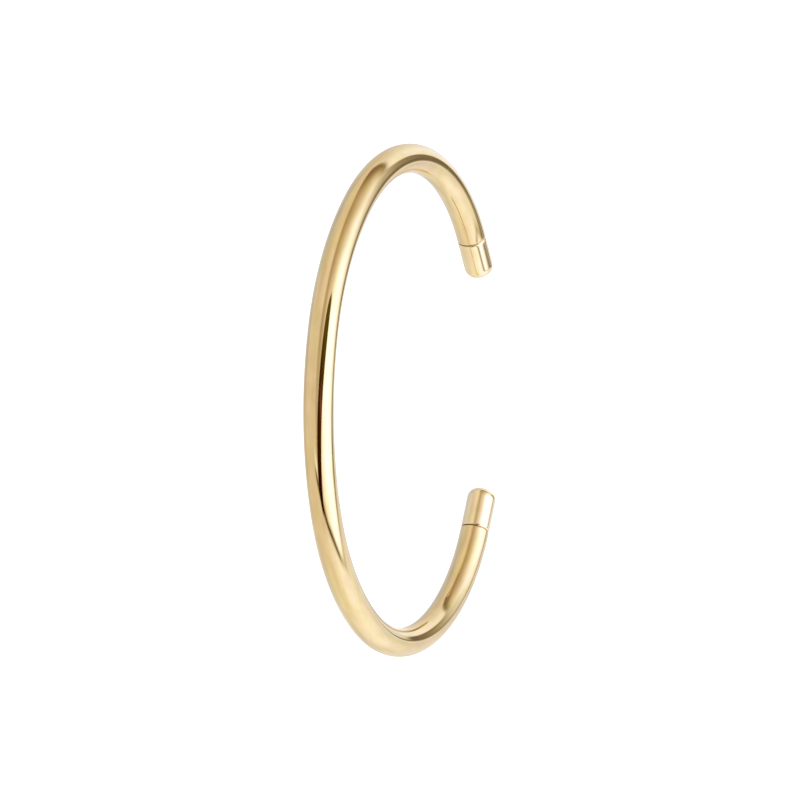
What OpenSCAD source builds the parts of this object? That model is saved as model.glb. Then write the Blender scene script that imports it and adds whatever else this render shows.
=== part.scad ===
// Open cuff bangle: a round rod bent into an oval, with a rounded cap on each end.
// It lies flat: Z is up, X runs along the oval, and the opening faces +Y.
// The origin is under the middle of the outline, on the surface that the cuff rests on.

/* [Rod] */
// Diameter of the round rod
rod_d = 3.75; // [3:0.25:4.5]
// Radius of the rod's middle line along the closed front
front_r = 41; // [39:0.5:45]
// Radius of the middle line at the shoulders, between the front and the sides
shoulder_r = 28.5; // [27:0.5:30]
// Radius of the middle line round each side and on to the cap
side_r = 22.5; // [21:0.5:24]
// How far the rod has turned from the front when it reaches a cap, in degrees
end_turn = 151; // [145:1:157]

/* [End caps] */
// Length of a cap from the seam to its tip
cap_len = 5.6; // [4.5:0.1:7]
// Radius that rounds the edge of a cap's tip
tip_round = 1.3; // [0.8:0.05:1.4]
// Radius of the shallow crown across the end of a cap
crown_r = 4; // [3:0.5:8]
// Width of the small bevel on each side of the seam
seam_bevel = 0.12; // [0.05:0.01:0.2]
// Space left between the rod's end and the cap
seam_gap = 0.05; // [0.03:0.01:0.1]

/* [Spigot] */
// Diameter of the plain spigot that seats a cap in the rod
spigot_d = 1.8; // [1.4:0.1:2]
// Length of the spigot past the cap's face
spigot_len = 3; // [2:0.1:3.5]

/* [Hidden] */
$fn = 96;

gold = [0.86, 0.71, 0.46];
// Free space round the spigot, and past its end
spigot_clear = 0.03;
spigot_end_clear = 0.2;
// How far a cut runs past the face that it opens
cut_past = 1;
// A distance that is past the rod from any arc's centre
far = 100;

rod_r = rod_d / 2;
spigot_r = spigot_d / 2;

// Directions from an arc's centre to where it meets the next. They are the slopes of
// a 7, 24, 25 triangle and a 3, 4, 5 triangle, so that the centres fall on round numbers.
front_end = [7 / 25, -24 / 25];
shoulder_end = [4 / 5, -3 / 5];
side_end = [sin(end_turn), -cos(end_turn)];

// Arc centres of the right half, and the middle of the rod's end face, from the front
front_centre = [0, front_r];
shoulder_centre = front_centre + (front_r - shoulder_r) * front_end;
side_centre = shoulder_centre + (shoulder_r - side_r) * shoulder_end;
rod_end = side_centre + side_r * side_end;

// Middle of the crown's sphere, and of the tip's rounding, from the cap's seam face
crown_y = cap_len - crown_r;
round_x = rod_r - tip_round;
round_y = crown_y + sqrt(pow(crown_r - tip_round, 2) - pow(round_x, 2));

// Reach of the outline in Y, which sets the origin under its middle
front_reach = -rod_r;
tip_reach = rod_end[1] + (seam_gap + round_y) * sin(end_turn) - round_x * cos(end_turn) + tip_round;
middle_y = (front_reach + tip_reach) / 2;

// A full ring of the rod round a centre, kept between two directions from that centre
module rod_arc(centre, radius, from, to)
    translate([centre[0], centre[1], 0])
        intersection() {
            rotate_extrude()
                translate([radius, 0])
                    circle(r = rod_r);
            linear_extrude(height = rod_d * 2, center = true)
                polygon([[0, 0], far * from, far * (from + to), far * to]);
        }

// Places a shape drawn along +Z so that it runs on from the right-hand end of the rod
module at_rod_end()
    translate([rod_end[0], rod_end[1], 0])
        rotate([0, 0, end_turn])
            rotate([0, 90, 0])
                children();

// What is cut from the right-hand end: the spigot's hole and the bevel round the end face
module end_cuts()
    at_rod_end() {
        translate([0, 0, -spigot_len - spigot_end_clear])
            cylinder(h = spigot_len + spigot_end_clear + cut_past, r = spigot_r + spigot_clear);
        rotate_extrude()
            polygon([[rod_r - seam_bevel - cut_past, cut_past], [rod_r + cut_past, cut_past],
                [rod_r + cut_past, -seam_bevel - cut_past]]);
    }

// Puts the cuff over the origin, with the lowest line of the rod at Z = 0
module on_the_surface()
    translate([0, -middle_y, rod_r])
        children();

// Half of a cap's outline: X is the radius, and Y runs from the seam to the tip
module cap_outline() {
    difference() {
        square([rod_r, round_y]);
        polygon([[rod_r - seam_bevel, 0], [rod_r, seam_bevel], [rod_r + cut_past, seam_bevel],
            [rod_r + cut_past, -cut_past], [rod_r - seam_bevel, -cut_past]]);
    }
    intersection() {
        translate([round_x, round_y])
            circle(r = tip_round);
        translate([0, round_y])
            square([rod_r, cap_len - round_y]);
    }
    intersection() {
        translate([0, crown_y])
            circle(r = crown_r);
        polygon([[0, crown_y], [round_x, round_y] * 2 - [0, crown_y], [0, cap_len + cut_past]]);
    }
    translate([0, -spigot_len])
        square([spigot_r, spigot_len]);
}

module right_cap()
    on_the_surface()
        at_rod_end()
            translate([0, 0, seam_gap])
                rotate_extrude()
                    cap_outline();

module hoop()
    color(gold)
        on_the_surface()
            difference() {
                union() {
                    rod_arc(front_centre, front_r, [-front_end[0], front_end[1]], front_end);
                    for (side = [0, 1])
                        mirror([side, 0, 0]) {
                            rod_arc(shoulder_centre, shoulder_r, front_end, shoulder_end);
                            rod_arc(side_centre, side_r, shoulder_end, side_end);
                        }
                }
                end_cuts();
                mirror([1, 0, 0])
                    end_cuts();
            }

module end_cap_left()
    color(gold)
        mirror([1, 0, 0])
            right_cap();

module end_cap_right()
    color(gold)
        right_cap();

hoop();
end_cap_left();
end_cap_right();
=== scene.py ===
import math

import bpy
import numpy as np
from mathutils import Matrix, Vector


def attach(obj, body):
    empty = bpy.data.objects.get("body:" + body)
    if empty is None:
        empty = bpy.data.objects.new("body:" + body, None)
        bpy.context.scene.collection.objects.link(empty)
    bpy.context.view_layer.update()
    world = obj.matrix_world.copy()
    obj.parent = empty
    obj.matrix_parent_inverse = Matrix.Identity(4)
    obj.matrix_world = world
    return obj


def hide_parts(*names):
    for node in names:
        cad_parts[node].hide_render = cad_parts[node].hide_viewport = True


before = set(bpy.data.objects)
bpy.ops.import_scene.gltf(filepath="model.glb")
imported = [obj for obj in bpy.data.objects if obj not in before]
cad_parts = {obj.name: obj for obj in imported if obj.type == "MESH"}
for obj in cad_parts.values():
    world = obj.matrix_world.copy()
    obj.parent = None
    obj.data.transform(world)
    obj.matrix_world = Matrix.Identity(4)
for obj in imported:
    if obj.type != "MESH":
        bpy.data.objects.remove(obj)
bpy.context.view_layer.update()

# Lengths are in metres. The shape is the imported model's own, worked out again here
# at a much finer spacing, with the seams' edges rounded.
MM = 0.001

# The rod, and the arcs of its middle line: how far it has turned from the front at each one's end
ROD_R = 1.875 * MM
FRONT_R = 41 * MM
FRONT_TURN = math.atan2(7, 24)
SHOULDER_R = 28.5 * MM
SHOULDER_TURN = math.atan2(4, 3)
SIDE_R = 22.5 * MM
END_TURN = math.radians(151)

# A cap, from its seam to its tip
CAP_LEN = 5.6 * MM
TIP_ROUND = 1.3 * MM
CROWN_R = 4 * MM
ROUND_X = ROD_R - TIP_ROUND
CROWN_Y = CAP_LEN - CROWN_R
ROUND_Y = CROWN_Y + math.sqrt((CROWN_R - TIP_ROUND) ** 2 - ROUND_X ** 2)
# Where the crown's rings stop, in degrees, just short of the point in the middle of the tip
CROWN_STOP = 89.2

SEAM_GAP = 0.05 * MM
# The seam's edges are rounded this far, and not all the way into the gap
SEAM_ROUND = 0.26 * MM
SEAM_TURN = 60
# The faces in the seam stand this much proud, so that the gap doesn't show wider than it does in life
FACE_PROUD = 0.004 * MM
SEAM_DEPTH = SEAM_ROUND * math.sin(math.radians(SEAM_TURN)) - FACE_PROUD
# A ring part of the way across those faces
FACE_RING_R = 1.4 * MM
# How far the seam's wear and grime reach along the metal
SEAM_REACH = 0.35 * MM

SPIGOT_R = 0.9 * MM
SPIGOT_LEN = 3 * MM
SPIGOT_EDGE = 0.12 * MM
SPIGOT_CLEAR = 0.03 * MM
SPIGOT_END_CLEAR = 0.2 * MM
# The blind hole that the spigot seats in, and the small bevel at its mouth
BORE_R = SPIGOT_R + SPIGOT_CLEAR
BORE_DEPTH = SPIGOT_LEN + SPIGOT_END_CLEAR
MOUTH_BEVEL = 0.06 * MM
MOUTH_DEPTH = 0.1 * MM

# Points in a ring, the space between rings along the rod, and the rings of each rounding
AROUND = 96
RING_SPACING = 0.3 * MM
SEAM_RINGS = 8
CAP_WALL_RINGS = 22
TIP_RINGS = 28
CROWN_RINGS = 14
# Next to a seam the rod's rings start this close together and spread out
FIRST_STEP = 0.06 * MM
STEP_GROWTH = 1.3
CLOSE_LENGTH = 1 * MM
# An edge sharper than this isn't smoothed over
SHARP_FROM = math.radians(50)


def heading(turn):
    return np.array([math.sin(turn), -math.cos(turn)])


FRONT_CENTRE = np.array([0, FRONT_R])
SHOULDER_CENTRE = FRONT_CENTRE + (FRONT_R - SHOULDER_R) * heading(FRONT_TURN)
SIDE_CENTRE = SHOULDER_CENTRE + (SHOULDER_R - SIDE_R) * heading(SHOULDER_TURN)
ROD_END = SIDE_CENTRE + SIDE_R * heading(END_TURN)

TIP_REACH = (ROD_END[1] + (SEAM_GAP + ROUND_Y) * math.sin(END_TURN)
             - ROUND_X * math.cos(END_TURN) + TIP_ROUND)
MIDDLE_Y = (TIP_REACH - ROD_R) / 2
HALF_LENGTH = (FRONT_R * FRONT_TURN + SHOULDER_R * (SHOULDER_TURN - FRONT_TURN)
               + SIDE_R * (END_TURN - SHOULDER_TURN))


def middle_line(s):
    """Place and direction of the rod's middle line, at length s to the right of the front."""
    side = 1 if s >= 0 else -1
    left = abs(s)
    arcs = ((FRONT_CENTRE, FRONT_R, 0, FRONT_TURN),
            (SHOULDER_CENTRE, SHOULDER_R, FRONT_TURN, SHOULDER_TURN),
            (SIDE_CENTRE, SIDE_R, SHOULDER_TURN, END_TURN))
    for centre, radius, start, end in arcs:
        turn = start + left / radius
        if turn <= end or end == END_TURN:
            break
        left -= radius * (end - start)
    turn = min(turn, END_TURN)
    x, y = centre + radius * heading(turn)
    return np.array([side * x, y - MIDDLE_Y, ROD_R]), np.array([math.cos(turn), side * math.sin(turn), 0])


def arc_points(centre, radius, start, end, count):
    """Points of an arc in an outline of (radius, length), from one angle to another in degrees."""
    angles = np.radians(np.linspace(start, end, count))
    return [(centre[0] + radius * math.cos(a), centre[1] + radius * math.sin(a)) for a in angles]


def band_faces(rings, around):
    """Faces between neighbouring rings of points."""
    faces = []
    for k in range(rings - 1):
        for j in range(around):
            n = (j + 1) % around
            faces.append((k * around + j, k * around + n, (k + 1) * around + n, (k + 1) * around + j))
    return faces


def in_scene(name, data):
    """A new object of this mesh, camera or light, linked to the scene."""
    obj = bpy.data.objects.new(name, data)
    bpy.context.scene.collection.objects.link(obj)
    return obj


def lathe(name, rings):
    """A closed skin over rings of (middle, direction, radius, length along the piece, seam share).
    The first and the last ring are closed with a point in their middle. Each point keeps where it
    lies in the straightened piece, as lay, and its seam share, as seam."""
    angles = np.linspace(0, 2 * math.pi, AROUND, endpoint=False)
    up = np.array([0, 0, 1.0])
    points, lay, seam = [], [], []
    for middle, direction, radius, along, share in rings:
        out = np.cross(direction, up)
        for a in angles:
            points.append(middle + radius * (math.cos(a) * out + math.sin(a) * up))
            lay.append((along, radius * math.cos(a), radius * math.sin(a)))
            seam.append(share)
    faces = band_faces(len(rings), AROUND)
    for ring, order in ((0, -1), (len(rings) - 1, 1)):
        middle, _, _, along, share = rings[ring]
        points.append(middle)
        lay.append((along, 0, 0))
        seam.append(share)
        for j in range(AROUND):
            edge_points = [ring * AROUND + j, ring * AROUND + (j + 1) % AROUND]
            faces.append((*edge_points[::order], len(points) - 1))
    mesh = bpy.data.meshes.new(name)
    mesh.from_pydata([tuple(p) for p in points], [], faces)
    mesh.attributes.new("lay", "FLOAT_VECTOR", "POINT").data.foreach_set(
        "vector", np.array(lay, np.float32).ravel())
    mesh.attributes.new("seam", "FLOAT", "POINT").data.foreach_set(
        "value", np.array(seam, np.float32))
    mesh.polygons.foreach_set("use_smooth", [True] * len(mesh.polygons))
    mesh.set_sharp_from_angle(angle=SHARP_FROM)
    mesh.update()
    return in_scene(name, mesh)


def seam_share(distance):
    """1 at a seam, falling to 0 over the next part of a millimetre."""
    return math.exp(-(max(distance, 0) / SEAM_REACH) ** 2)


def rod_rings():
    """The hoop's rings from the bottom of the left bore, round the front, to that of the right bore."""
    end = [(BORE_R * 0.5, BORE_DEPTH, 1), (BORE_R, BORE_DEPTH, 1), (BORE_R, BORE_DEPTH * 0.5, 1),
           (BORE_R, MOUTH_DEPTH, 1), (BORE_R + MOUTH_BEVEL, -FACE_PROUD, 1), (FACE_RING_R, -FACE_PROUD, 1)]
    rim = arc_points((ROD_R - SEAM_ROUND, -SEAM_DEPTH), SEAM_ROUND, SEAM_TURN, 0, SEAM_RINGS)
    for radius, length in rim:
        end.append((radius, -length, 1))
    depth = SEAM_DEPTH
    step = FIRST_STEP
    while depth < CLOSE_LENGTH:
        depth += step
        step *= STEP_GROWTH
        end.append((ROD_R, depth, seam_share(depth - SEAM_DEPTH)))
    rings = []
    for side in (-1, 1):
        half = []
        for radius, depth, share in end:
            middle, direction = middle_line(side * (HALF_LENGTH - depth))
            # The bore is straight, and so is what stands proud of the end
            if depth < 0 or (depth > SEAM_ROUND and radius < ROD_R):
                middle, direction = middle_line(side * HALF_LENGTH)
                middle = middle - side * direction * depth
            half.append((middle, direction, radius, side * (HALF_LENGTH - depth), share))
        if side == 1:
            half.reverse()
            reach = HALF_LENGTH - end[-1][1]
            for s in np.linspace(-reach, reach, int(2 * reach / RING_SPACING))[1:-1]:
                middle, direction = middle_line(s)
                rings.append((middle, direction, ROD_R, s, 0))
        rings += half
    return rings


def cap_rings(side):
    """A cap's rings from the end of its spigot to the middle of its tip."""
    outline = [(SPIGOT_R * 0.5, -SPIGOT_LEN, 1), (SPIGOT_R - SPIGOT_EDGE, -SPIGOT_LEN, 1),
               (SPIGOT_R, -SPIGOT_LEN + SPIGOT_EDGE, 1), (SPIGOT_R, -SPIGOT_LEN * 0.5, 1),
               (SPIGOT_R, -FACE_PROUD, 1), (FACE_RING_R, -FACE_PROUD, 1)]
    rim = arc_points((ROD_R - SEAM_ROUND, SEAM_DEPTH), SEAM_ROUND, -SEAM_TURN, 0, SEAM_RINGS)
    for radius, length in rim:
        outline.append((radius, length, 1))
    for length in np.linspace(SEAM_DEPTH, ROUND_Y, CAP_WALL_RINGS)[1:-1]:
        outline.append((ROD_R, length, seam_share(length - SEAM_DEPTH)))
    crown_start = 90 - math.degrees(math.atan2(ROUND_X, ROUND_Y - CROWN_Y))
    for radius, length in arc_points((ROUND_X, ROUND_Y), TIP_ROUND, 0, crown_start, TIP_RINGS):
        outline.append((radius, length, 0))
    for radius, length in arc_points((0, CROWN_Y), CROWN_R, crown_start, CROWN_STOP, CROWN_RINGS)[1:]:
        outline.append((radius, length, 0))
    middle, direction = middle_line(HALF_LENGTH)
    rings = []
    for radius, length, share in outline:
        place = middle + direction * (SEAM_GAP + length)
        along = HALF_LENGTH + SEAM_GAP + length
        if side < 0:
            mirrored = np.array([-place[0], place[1], place[2]])
            turned = np.array([direction[0], -direction[1], 0])
            rings.append((mirrored, turned, radius, -along, share))
        else:
            rings.append((place, direction, radius, along, share))
    return rings if side > 0 else rings[::-1]


# Polished gold plate: the rod's, and the caps', which is a little paler
GOLD = (0.83, 0.61, 0.30)
CAP_GOLD = (0.92, 0.715, 0.405)
# Factors on its colour
WORN = (1.03, 1.06, 1.2)
PINKER = (1.02, 0.985, 1.07)
YELLOWER = (0.98, 1.0, 0.92)
BRIGHTER = (1.035, 1.035, 1.035, 1)
DULLER = (0.955, 0.95, 0.94, 1)
# Painted shade: a dark brown painted into the seam's groove, on the lower side
SEAM_SHADE_PAINT = (0.30, 0.185, 0.06, 1)
# It fades out between these distances from the rod's middle line, and between these heights above it
SEAM_SHADE_RADII = (ROD_R - 0.09 * MM, ROD_R - 0.03 * MM)
SEAM_SHADE_HEIGHTS = (0.1 * ROD_R, 0.45 * ROD_R)

# Scales of the marks, for each metre. The long ones have one along the rod and two across it.
HAIRLINE_SCALE = (160, 5200, 5200)
STREAK_SCALE = (260, 2000, 2000)
PATCH_SCALE = (330, 1200, 1200)
MOTTLE_SCALE = 2600.0
CLOUD_SCALE = 190.0
HANDLING_SCALE = 420.0
# Stray scratches: their slant, their spacing and their width
SCRATCH_SLANT = (0.3, 0.5, 0.9)
SCRATCH_SCALE = (900, 240, 900)
SCRATCH_WIDTH = 0.012
# The values of each noise between which its mark sets in
STREAK_RANGE = (0.38, 0.62)
PATCH_RANGE = (0.34, 0.66)
MOTTLE_RANGE = (0.5, 0.75)
CLOUD_RANGE = (0.3, 0.7)
HAIRLINE_RANGE = (0.45, 0.75)
HANDLING_RANGE = (0.55, 0.75)
# Scratches lie where there has been more handling
SCRATCH_RANGE = (0.52, 0.66)

# How much of the worn colour the mottle and the seam bring
MOTTLE_WEAR = 0.3
SEAM_WEAR = 0.25
# The plate's own roughness, from its best polish to its dullest, and what each mark adds
ROUGH_BEST = 0.05
ROUGH_DULL = 0.075
HAIRLINE_ROUGH = 0.025
HANDLING_ROUGH = 0.025
SCRATCH_ROUGH = 0.12
SEAM_ROUGH = 0.07
# Roughness added where the seam's shade is painted
SEAM_SHADE_ROUGH = 0.12
# Share of each mark in the fine relief, and the strength and depth of the fine and the wavy relief
HAIRLINE_RELIEF = 0.35
MOTTLE_RELIEF = 0.25
SCRATCH_RELIEF = 0.8
FINE_STRENGTH = 0.035
FINE_DEPTH = 0.01 * MM
WAVE_STRENGTH = 0.06
WAVE_DEPTH = 0.1 * MM


class Nodes:
    """Short ways to add nodes to one material."""

    def __init__(self, tree):
        self.tree = tree
        self.tree.nodes.clear()

    def add(self, kind, inputs=(), **settings):
        node = self.tree.nodes.new(kind)
        for name, value in settings.items():
            setattr(node, name, value)
        for socket, value in dict(inputs).items():
            if isinstance(value, bpy.types.NodeSocket):
                self.tree.links.new(value, node.inputs[socket])
            else:
                node.inputs[socket].default_value = value
        return node

    def math(self, operation, *values):
        return self.add("ShaderNodeMath", enumerate(values), operation=operation).outputs[0]

    def vector(self, operation, *values):
        return self.add("ShaderNodeVectorMath", enumerate(values), operation=operation).outputs[0]

    def ramp(self, value, low, high, to_low=0.0, to_high=1.0):
        node = self.add("ShaderNodeMapRange", {0: value, 1: low, 2: high, 3: to_low, 4: to_high},
                        interpolation_type="SMOOTHSTEP")
        return node.outputs[0]

    def mix(self, share, a, b):
        return self.add("ShaderNodeMix", {0: share, 6: a, 7: b}, data_type="RGBA").outputs[2]

    def noise(self, place, scale, **more):
        return self.add("ShaderNodeTexNoise", {"Vector": place, "Scale": scale, **more}).outputs[0]

    def attribute(self, name, output):
        return self.add("ShaderNodeAttribute", attribute_name=name,
                        attribute_type="GEOMETRY").outputs[output]


def new_material(name):
    material = bpy.data.materials.new(name)
    material.use_nodes = True
    return material, Nodes(material.node_tree)


def shade(gold, factors):
    return (*(min(g * f, 1) for g, f in zip(gold, factors)), 1)


def gold_material(name, gold, shift):
    """Mirror-polished gold plate. shift moves the marks, so that no two pieces carry the same ones."""
    material, n = new_material(name)
    lay = n.attribute("lay", "Vector")
    seam = n.attribute("seam", "Fac")
    moved = n.vector("ADD", lay, (shift, 0, 0))
    # Fine hairlines left by the last buffing run along the rod
    hairlines = n.noise(n.vector("MULTIPLY", moved, HAIRLINE_SCALE), 1.0, Detail=4.0, Roughness=0.62)
    mottle = n.noise(moved, MOTTLE_SCALE, Detail=5.0, Roughness=0.6)
    cloud = n.noise(moved, CLOUD_SCALE, Detail=3.0, Roughness=0.5)
    handling = n.noise(moved, HANDLING_SCALE, Detail=2.0, Distortion=0.6)
    # Stray scratches from wear, thin and crossing the rod at a slant
    slanted = n.add("ShaderNodeMapping", {0: moved, 2: SCRATCH_SLANT, 3: SCRATCH_SCALE}).outputs[0]
    cells = n.add("ShaderNodeTexVoronoi", {"Vector": slanted, "Scale": 1.0},
                  feature="DISTANCE_TO_EDGE").outputs[0]
    scratch = n.ramp(cells, 0.0, SCRATCH_WIDTH, 1.0, 0.0)
    scratch = n.math("MULTIPLY", scratch, n.ramp(handling, *SCRATCH_RANGE))

    # The plate's colour drifts between a pinker and a yellower gold, in soft streaks along the rod
    drift = n.noise(n.vector("MULTIPLY", moved, STREAK_SCALE), 1.0, Detail=3.0)
    patch = n.noise(n.vector("MULTIPLY", moved, PATCH_SCALE), 1.0, Detail=4.0)
    tone = n.mix(n.ramp(drift, *STREAK_RANGE), shade(gold, YELLOWER), shade(gold, PINKER))
    level = n.mix(n.ramp(patch, *PATCH_RANGE), BRIGHTER, DULLER)
    tone = n.vector("MULTIPLY", tone, level)
    tone = n.mix(n.math("MULTIPLY", n.ramp(mottle, *MOTTLE_RANGE), MOTTLE_WEAR), tone, shade(gold, WORN))
    tone = n.mix(n.math("MULTIPLY", seam, SEAM_WEAR), tone, shade(gold, WORN))

    # Painted shade in the seam: a dark brown below the rod's surface, on its lower side
    flat = n.vector("MULTIPLY", lay, (0, 1, 1))
    radius = n.add("ShaderNodeVectorMath", {0: flat}, operation="LENGTH").outputs["Value"]
    height = n.add("ShaderNodeSeparateXYZ", {0: lay}).outputs["Z"]
    seam_shade = n.ramp(radius, *SEAM_SHADE_RADII, 1.0, 0.0)
    seam_shade = n.math("MULTIPLY", seam_shade, n.ramp(height, *SEAM_SHADE_HEIGHTS, 1.0, 0.0))
    seam_shade = n.math("MULTIPLY", seam_shade, seam)
    # The seam's painted shade is mixed into the colour here
    tone = n.mix(seam_shade, tone, SEAM_SHADE_PAINT)

    rough = n.ramp(cloud, *CLOUD_RANGE, ROUGH_BEST, ROUGH_DULL)
    rough = n.math("ADD", rough, n.ramp(hairlines, *HAIRLINE_RANGE, 0.0, HAIRLINE_ROUGH))
    rough = n.math("ADD", rough, n.ramp(handling, *HANDLING_RANGE, 0.0, HANDLING_ROUGH))
    for mark, added in ((scratch, SCRATCH_ROUGH), (seam, SEAM_ROUGH), (seam_shade, SEAM_SHADE_ROUGH)):
        rough = n.math("ADD", rough, n.math("MULTIPLY", mark, added))

    relief = n.math("ADD", n.math("MULTIPLY", hairlines, HAIRLINE_RELIEF),
                    n.math("MULTIPLY", mottle, MOTTLE_RELIEF))
    relief = n.math("SUBTRACT", relief, n.math("MULTIPLY", scratch, SCRATCH_RELIEF))
    fine = n.add("ShaderNodeBump", {"Strength": FINE_STRENGTH, "Distance": FINE_DEPTH,
                                    "Height": relief}).outputs[0]
    wave = n.add("ShaderNodeBump", {"Strength": WAVE_STRENGTH, "Distance": WAVE_DEPTH,
                                    "Height": cloud, "Normal": fine}).outputs[0]
    shader = n.add("ShaderNodeBsdfPrincipled", {"Base Color": tone, "Metallic": 1.0, "Roughness": rough,
                                                "Normal": wave})
    n.add("ShaderNodeOutputMaterial", {"Surface": shader.outputs[0]})
    return material


# Each piece's name, the node that it replaces, its rings, its gold and how far its marks are moved
pieces = (("hoop_polished", "hoop", rod_rings(), GOLD, 0.0),
          ("cap_left_polished", "end_cap_left", cap_rings(-1), CAP_GOLD, 0.31),
          ("cap_right_polished", "end_cap_right", cap_rings(1), CAP_GOLD, 0.57))
for name, node, rings, gold, shift in pieces:
    piece = lathe(name, rings)
    piece.data.materials.append(gold_material("gold_" + name, gold, shift))
    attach(piece, "root")
    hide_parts(node)

# The camera, as found from the photograph's outline: its height as an angle, how it is tilted and
# rolled, and how far it stands back, aside and above
LENS_ELEVATION = math.radians(25.752)
LENS_TILT = math.radians(-6.585)
LENS_ROLL = math.radians(-0.759)
LENS_DISTANCE = 556.24 * MM
LENS_ASIDE = 0.279 * MM
LENS_ABOVE = -0.311 * MM
LENS_MM = 197.56
SENSOR_MM = 36
AIM = np.array([0, 0, ROD_R])

level_right = np.array([0, math.sin(LENS_ELEVATION), math.cos(LENS_ELEVATION)])
level_up = np.array([-1.0, 0, 0])
level_forward = np.array([0, math.cos(LENS_ELEVATION), -math.sin(LENS_ELEVATION)])
lens_forward = math.cos(LENS_TILT) * level_forward + math.sin(LENS_TILT) * level_up
tilted_up = math.cos(LENS_TILT) * level_up - math.sin(LENS_TILT) * level_forward
lens_right = math.cos(LENS_ROLL) * level_right + math.sin(LENS_ROLL) * tilted_up
lens_up = math.cos(LENS_ROLL) * tilted_up - math.sin(LENS_ROLL) * level_right
lens_place = AIM - (LENS_ASIDE * lens_right + LENS_ABOVE * lens_up + LENS_DISTANCE * lens_forward)

camera_data = bpy.data.cameras.new("camera")
camera_data.lens = LENS_MM
camera_data.sensor_width = SENSOR_MM
camera_data.clip_start = 0.01
camera_data.clip_end = 50
camera = in_scene("camera", camera_data)
lens_turn = Matrix((lens_right, lens_up, -lens_forward)).transposed().to_4x4()
camera.matrix_world = Matrix.Translation(Vector(lens_place)) @ lens_turn
bpy.context.scene.camera = camera


def rise(x, start, width):
    """0 up to start, then smoothly up to 1 over the width."""
    x = np.clip((x - start) / width, 0, 1)
    return x * x * (3 - 2 * x)


def edge(x, width):
    """0 to 1 across a soft edge of this width, with its middle at 0."""
    return rise(x, -width / 2, width)


def curve(x, knots):
    """A smooth curve through a few (x, y) knots, which doesn't swing past them."""
    xs, ys = np.array(knots, float).T
    gaps = np.diff(xs)
    slopes = np.diff(ys) / gaps
    turns = np.concatenate(([slopes[0]], np.zeros(len(xs) - 2), [slopes[-1]]))
    for k in range(1, len(xs) - 1):
        if slopes[k - 1] * slopes[k] > 0:
            a = 2 * gaps[k] + gaps[k - 1]
            b = gaps[k] + 2 * gaps[k - 1]
            turns[k] = (a + b) / (a / slopes[k - 1] + b / slopes[k])
    x = np.clip(x, xs[0], xs[-1])
    k = np.clip(np.searchsorted(xs, x) - 1, 0, len(xs) - 2)
    q = (x - xs[k]) / gaps[k]
    return ((2 * q ** 3 - 3 * q ** 2 + 1) * ys[k] + (q ** 3 - 2 * q ** 2 + q) * gaps[k] * turns[k]
            + (-2 * q ** 3 + 3 * q ** 2) * ys[k + 1] + (q ** 3 - q ** 2) * gaps[k] * turns[k + 1])


def spots(u, v, *rows):
    """Sum of soft spots, each (strength, u, v, half-width, half-height)."""
    return sum(strength * np.exp(-0.5 * ((u - at_u) / wide) ** 2 - 0.5 * ((v - at_v) / high) ** 2)
               for strength, at_u, at_v, wide, high in rows)


def within(ways, *limits):
    """0 to 1, as every limit (way, start, width) is passed."""
    share = 1
    for way, start, width in limits:
        share = share * rise(ways[way], start, width)
    return share


def bands(ways, *rows):
    """Sum of soft bands, each (strength, limit, limit, ...)."""
    return sum(strength * within(ways, *limits) for strength, *limits in rows)


# The tent is laid out as a mirror ball in the cuff's place would show it to the lens: u runs to the
# right and v up, from -1 to 1. Light that the cloth gives back where nothing special is, and how
# green and blue follow a brighter or a darker red:
CLOTH_LIGHT = 0.85
GREEN_POWER = 1.35
BLUE_POWER = 2.05
# What a cooler or a warmer tone adds to green and blue, and what the slot's head adds to green
COOL_GREEN = 0.13
COOL_BLUE = 0.4
WARM_GREEN = -0.03
WARM_BLUE = -0.18
HEAD_GREEN = 0.035

# Lighter and darker spots on the cloth, and where it is warmer: (strength, u, v, half-width, half-height)
CLOTH_SPOTS = [(0.4, 0.4, -0.5, 0.38, 0.4), (0.3, 0.6, 0.6, 0.25, 0.25), (-0.12, -0.84, 0.14, 0.05, 0.09),
               (-0.14, -0.56, 0.55, 0.14, 0.18), (0.06, -0.22, 0.45, 0.1, 0.2), (0.14, 0.86, 0.42, 0.1, 0.12),
               (-0.07, -0.33, -0.1, 0.09, 0.22), (-0.09, 0.02, -0.7, 0.1, 0.06),
               (-0.12, -0.14, -0.4, 0.1, 0.03), (-0.09, -0.17, -0.68, 0.06, 0.1),
               (0.05, -0.38, -0.68, 0.1, 0.1)]
WARM_SPOTS = [(1, -0.05, -0.68, 0.35, 0.22), (0.8, -0.15, 0.6, 0.1, 0.14)]
# A spot between the slot and the panel's left end where it is cooler
COOL_SPOT = (0.3, -0.1, -0.03, 0.1, 0.15)
# Lighter and darker bands on the cloth, and cooler ones, most of them towards the rim: each has a
# strength, and limits of (way, start, width)
LOWER_LEFT = (("down", 0.3, 0.3), ("left", -0.1, 0.4), ("out", 0.74, 0.16))
LEFT_RIM = (("out", 0.86, 0.06), ("left", 0, 0.3))
CLOTH_BANDS = [(0.13, ("down", 0.45, 0.4), ("left", -0.4, 0.5)),
               (-0.13, *LOWER_LEFT),
               (-0.15, ("down", 0.1, 0.1), ("right", -0.6, 0.3), ("out", 0.84, 0.08)),
               (-0.14, ("up", -0.5, 0.4), ("left", -0.2, 0.6), ("out", 0.72, 0.2)),
               (-0.1, ("up", -0.6, 0.5), ("left", -0.1, 0.4), ("out", 0.8, 0.1)),
               (0.1, *LEFT_RIM),
               (-0.07, *LEFT_RIM, *LOWER_LEFT),
               (-0.06, ("out", 0.95, 0.04))]
COOL_BANDS = [(0.2, ("out", 0.6, 0.3)),
              (0.8, ("up", -0.05, 0.3), ("left", 0.15, 0.4), ("out", 0.6, 0.3)),
              (0.4, *LOWER_LEFT),
              (0.2, ("left", 0.5, 0.2), ("out", 0.76, 0.12)),
              (0.5, ("right", 0.8, 0.1))]

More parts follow.
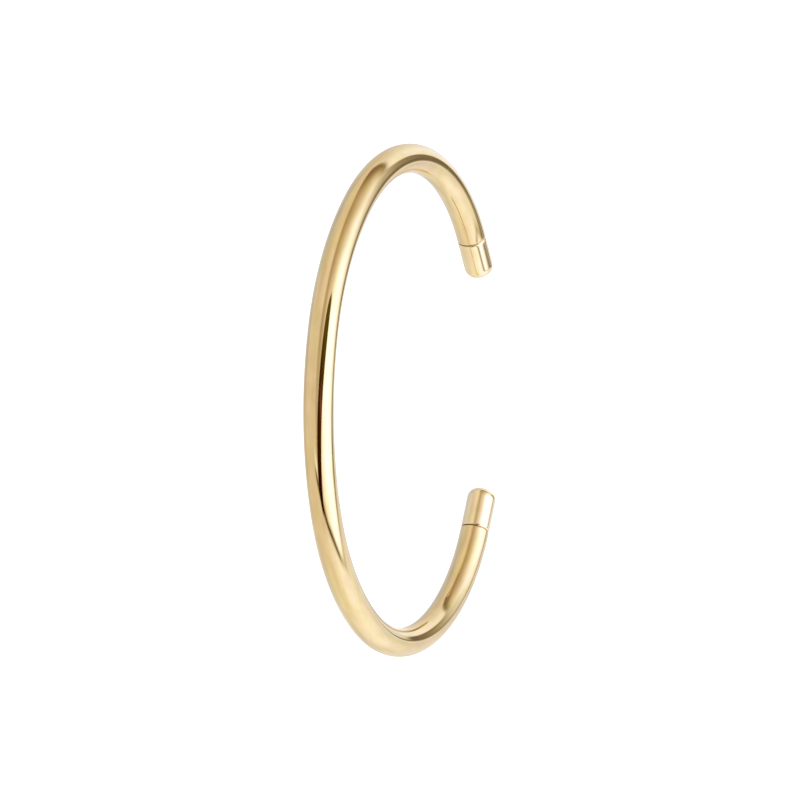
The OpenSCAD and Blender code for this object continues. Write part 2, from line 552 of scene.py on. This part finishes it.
# The bright panel: how light it is away from its white spot, the spot's strength, middle and slopes,
# two more spots, and how soft the panel's edges are
PANEL_LIGHT = 0.5
WHITE_LIGHT = 1.4
WHITE_PLACE = (0.52, -0.04)
WHITE_SLOPES = (8.7, 5.0, -3.2)
PANEL_SPOTS = [(0.25, 0.12, -0.27, 0.08, 0.06), (-0.07, -0.05, 0.1, 0.12, 0.18)]
PANEL_EDGE = 0.02
# The panel's left end slants to the right above a bend. It is softer than the other edges, and gets
# sharper upwards.
LEFT_END = -0.19
LEFT_BEND = 0.08
LEFT_SLANT = 0.28
LEFT_SOFT = 0.17
LEFT_SHARPER = 0.08
# A bright streak, by u and by the height above the panel's lower edge, and a fainter one by the slot
LOW_STREAK = (0.4, -0.25, 0.05, 0.0495, 0.0198)
SLOT_STREAK = (0.16, 0.08, 0.2, 0.05, 0.07)
# The panel's lower edge: (u, v), how dark its seam is, and the seam's half-width
LOW_EDGE = [(-0.34, -0.24), (-0.1, -0.33), (0.15, -0.39), (0.38, -0.4), (0.55, -0.36), (0.68, -0.27),
            (0.78, -0.14), (0.88, -0.05), (0.97, 0.0)]
LOW_DARK = [(-0.34, 0.6), (-0.2, 0.95), (0.4, 0.85), (0.5, 0.4), (0.7, 0.4), (0.83, 0.8), (0.95, 0.4)]
LOW_WIDE = [(-0.34, 0.02), (-0.1, 0.03), (0.3, 0.03), (0.55, 0.02), (0.77, 0.04), (0.92, 0.02)]
# Its upper edge, in the same way, along the slant from upper left to lower right
HIGH_EDGE = [(-0.55, 0.59), (-0.4, 0.7), (-0.2, 0.77), (-0.05, 0.79), (0.15, 0.79), (0.3, 0.83),
             (0.4, 0.82), (0.5, 0.77), (0.62, 0.66)]
HIGH_DARK = [(-0.5, 0.45), (-0.1, 0.6), (0.15, 0.4), (0.35, 0.75), (0.6, 0.82), (0.66, 0.7)]
HIGH_WIDE = [(-0.5, 0.13), (-0.1, 0.035), (0.1, 0.035), (0.35, 0.12), (0.5, 0.105), (0.64, 0.06)]
# The most that each seam spreads on the cloth's side, and the limits that it fades out at
LOW_OUTER = 0.03
LOW_LIMITS = (("right", -0.36, 0.04), ("left", -0.96, 0.04))
HIGH_OUTER = 0.012
HIGH_LIMITS = (("across", -0.56, 0.05), ("back", -0.68, 0.03))
# A seam darkens red, green and blue nearly alike
SEAM_POWERS = (1, 1.15, 1.5)

# The slot: one end, the way to its other end, its half-width at the two, how soft its edge is, and
# its light at the first end, what is added by the second, and what its head adds
SLOT_END = (-0.1, -0.285)
SLOT_WAY = (0.3, 0.39)
SLOT_HALF = (0.08, 0.13)
SLOT_EDGE = 0.028
SLOT_LIGHT = 0.03
SLOT_GAIN = 0.06
HEAD_LIGHT = 0.03
# Where the head starts along the slot, and the width that it sets in over
HEAD_START = 0.72
HEAD_WIDTH = 0.3
# A small reddish glint on the lens
GLINT = (1, 0.12, -0.06, 0.025, 0.03)
GLINT_TONE = (0.2, 0.09, 0.08)


def panel_light(u, v):
    """The panel: white round one spot, olive towards its upper left."""
    du = u - WHITE_PLACE[0]
    dv = v - WHITE_PLACE[1]
    fall = WHITE_SLOPES[0] * du ** 2 + WHITE_SLOPES[1] * dv ** 2 + WHITE_SLOPES[2] * du * dv
    return PANEL_LIGHT + WHITE_LIGHT * np.exp(-0.5 * fall) + spots(u, v, *PANEL_SPOTS)


def in_slot(u, v):
    """How much of a point is in the slot that the lens looks in through, and how far along it."""
    along_u = u - SLOT_END[0]
    along_v = v - SLOT_END[1]
    share = (along_u * SLOT_WAY[0] + along_v * SLOT_WAY[1]) / (SLOT_WAY[0] ** 2 + SLOT_WAY[1] ** 2)
    share = np.clip(share, 0, 1)
    away = np.hypot(along_u - share * SLOT_WAY[0], along_v - share * SLOT_WAY[1])
    half = SLOT_HALF[0] + (SLOT_HALF[1] - SLOT_HALF[0]) * share
    return edge(half - away, SLOT_EDGE), share


def seam_dark(inwards, dark, wide, outer):
    """How much a seam takes away at a place this far inside the panel."""
    spread = np.where(inwards > 0, wide, np.minimum(wide, outer))
    return dark * np.exp(-(inwards / spread) ** 2)


def tent_light(u, v):
    """Colour and strength of the light from the tent's inside at (u, v)."""
    across = (u - v) / math.sqrt(2)
    ways = {"right": u, "left": -u, "up": v, "down": -v, "out": np.hypot(u, v),
            "across": across, "back": -across}
    above_low = v - curve(u, LOW_EDGE)
    below_high = curve(across, HIGH_EDGE) - (u + v) / math.sqrt(2)

    left = edge(u - LEFT_END - LEFT_SLANT * np.maximum(v - LEFT_BEND, 0), LEFT_SOFT - LEFT_SHARPER * v)
    inside = left * edge(above_low, PANEL_EDGE) * edge(below_high, PANEL_EDGE)
    cloth = 1 + spots(u, v, *CLOTH_SPOTS) + bands(ways, *CLOTH_BANDS)
    light = cloth * (1 - inside) + panel_light(u, v) * inside
    light = light + spots(u, above_low, LOW_STREAK) + spots(u, v, SLOT_STREAK)
    slot, share = in_slot(u, v)
    head = slot * rise(share, HEAD_START, HEAD_WIDTH)
    light = light * (1 - slot) + slot * (SLOT_LIGHT + SLOT_GAIN * share) + HEAD_LIGHT * head

    cool = bands(ways, *COOL_BANDS) * (1 - inside) + spots(u, v, COOL_SPOT) * (1 - slot)
    warm = spots(u, v, *WARM_SPOTS)
    green = light ** GREEN_POWER + COOL_GREEN * cool + WARM_GREEN * warm + HEAD_GREEN * head
    blue = light ** BLUE_POWER + COOL_BLUE * cool + WARM_BLUE * warm
    colour = np.stack([light, green, blue], -1)

    # The seams along the panel's edges
    low_dark = curve(u, LOW_DARK) * within(ways, *LOW_LIMITS)
    high_dark = curve(across, HIGH_DARK) * within(ways, *HIGH_LIMITS)
    kept = ((1 - seam_dark(above_low, low_dark, curve(u, LOW_WIDE), LOW_OUTER))
            * (1 - seam_dark(below_high, high_dark, curve(across, HIGH_WIDE), HIGH_OUTER)))
    colour = colour * np.stack([kept ** power for power in SEAM_POWERS], -1)
    return CLOTH_LIGHT * (colour + spots(u, v, GLINT)[..., None] * np.array(GLINT_TONE))


TENT_R = 0.515
# Points of the tent's mesh round it, and from its lowest point to its highest
TENT_AROUND = 720
TENT_RINGS = 360


def tent():
    """The inside of a light tent, which only reflections see."""
    turns = np.linspace(0, 2 * math.pi, TENT_AROUND, endpoint=False)
    lifts = np.linspace(-math.pi / 2, math.pi / 2, TENT_RINGS)
    lift, turn = np.meshgrid(lifts, turns, indexing="ij")
    way = np.stack([np.cos(lift) * np.cos(turn), np.cos(lift) * np.sin(turn), np.sin(lift)], -1)
    way = way.reshape(-1, 3)
    mesh = bpy.data.meshes.new("light_tent")
    mesh.from_pydata((AIM + TENT_R * way).tolist(), [], band_faces(TENT_RINGS, TENT_AROUND))
    half = way - lens_forward
    half /= np.linalg.norm(half, axis=1, keepdims=True)
    light = tent_light(half @ lens_right, half @ lens_up)
    layer = mesh.attributes.new("light", "FLOAT_COLOR", "POINT")
    layer.data.foreach_set("color", np.hstack([light, np.ones((len(light), 1))]).astype(np.float32).ravel())
    obj = in_scene("light_tent", mesh)
    material, n = new_material("tent_cloth")
    shader = n.add("ShaderNodeEmission", {"Color": n.attribute("light", "Color"), "Strength": 1.0})
    n.add("ShaderNodeOutputMaterial", {"Surface": shader.outputs[0]})
    material.cycles.emission_sampling = "NONE"
    mesh.materials.append(material)
    obj.visible_camera = False
    obj.visible_diffuse = False
    obj.visible_transmission = False
    obj.visible_volume_scatter = False
    obj.visible_shadow = False


tent()

FLOOR_R = 4.0
FLOOR_SIDES = 96
FLOOR_TONE = 0.90
# How much its grain varies the tone, and the grain's scale
FLOOR_VARY = 0.005
FLOOR_GRAIN = 900.0
FLOOR_GLOW = 0.97


def floor():
    """A plain pale floor, which reflections don't see."""
    angles = np.linspace(0, 2 * math.pi, FLOOR_SIDES, endpoint=False)
    rim = [(FLOOR_R * math.cos(a), FLOOR_R * math.sin(a), 0) for a in angles]
    mesh = bpy.data.meshes.new("floor")
    mesh.from_pydata(rim, [], [tuple(range(FLOOR_SIDES))])
    obj = in_scene("floor", mesh)
    material, n = new_material("pale_floor")
    grain = n.noise(n.add("ShaderNodeTexCoord").outputs["Object"], FLOOR_GRAIN, Detail=3.0)
    darker = FLOOR_TONE * (1 - FLOOR_VARY)
    lighter = FLOOR_TONE * (1 + FLOOR_VARY)
    tone = n.mix(grain, (darker, darker, darker, 1), (lighter, lighter, lighter, 1))
    # Most of its light is its own, so that the cuff casts next to no shadow
    top = n.add("ShaderNodeBsdfDiffuse", {"Color": tone}).outputs[0]
    glow = n.add("ShaderNodeEmission", {"Color": tone, "Strength": FLOOR_GLOW / FLOOR_TONE}).outputs[0]
    shader = n.add("ShaderNodeAddShader", {0: top, 1: glow})
    n.add("ShaderNodeOutputMaterial", {"Surface": shader.outputs[0]})
    mesh.materials.append(material)
    obj.visible_glossy = False


floor()

# Even light from all round, and a softbox above, for the floor. The metal mirrors neither.
WORLD_LIGHT = 0.2
KEY_SIZE = (0.9, 0.7)
KEY_POWER = 1.7
KEY_PLACE = (0, 0.25, 1.0)

world = bpy.data.worlds.new("studio")
bpy.context.scene.world = world
world.use_nodes = True
world_nodes = Nodes(world.node_tree)
backdrop = world_nodes.add("ShaderNodeBackground", {"Color": (1, 1, 1, 1), "Strength": WORLD_LIGHT})
world_nodes.add("ShaderNodeOutputWorld", {"Surface": backdrop.outputs[0]})
world.cycles_visibility.glossy = False

key_data = bpy.data.lights.new("overhead_softbox", "AREA")
key_data.shape = "RECTANGLE"
key_data.size = KEY_SIZE[0]
key_data.size_y = KEY_SIZE[1]
key_data.energy = KEY_POWER
key = in_scene("overhead_softbox", key_data)
key.location = KEY_PLACE
key.rotation_mode = "QUATERNION"
key.rotation_quaternion = (Vector((0, 0, 0)) - key.location).to_track_quat("-Z", "Y")
key.visible_glossy = False
key.visible_camera = False

bpy.context.scene.view_settings.view_transform = "Standard"
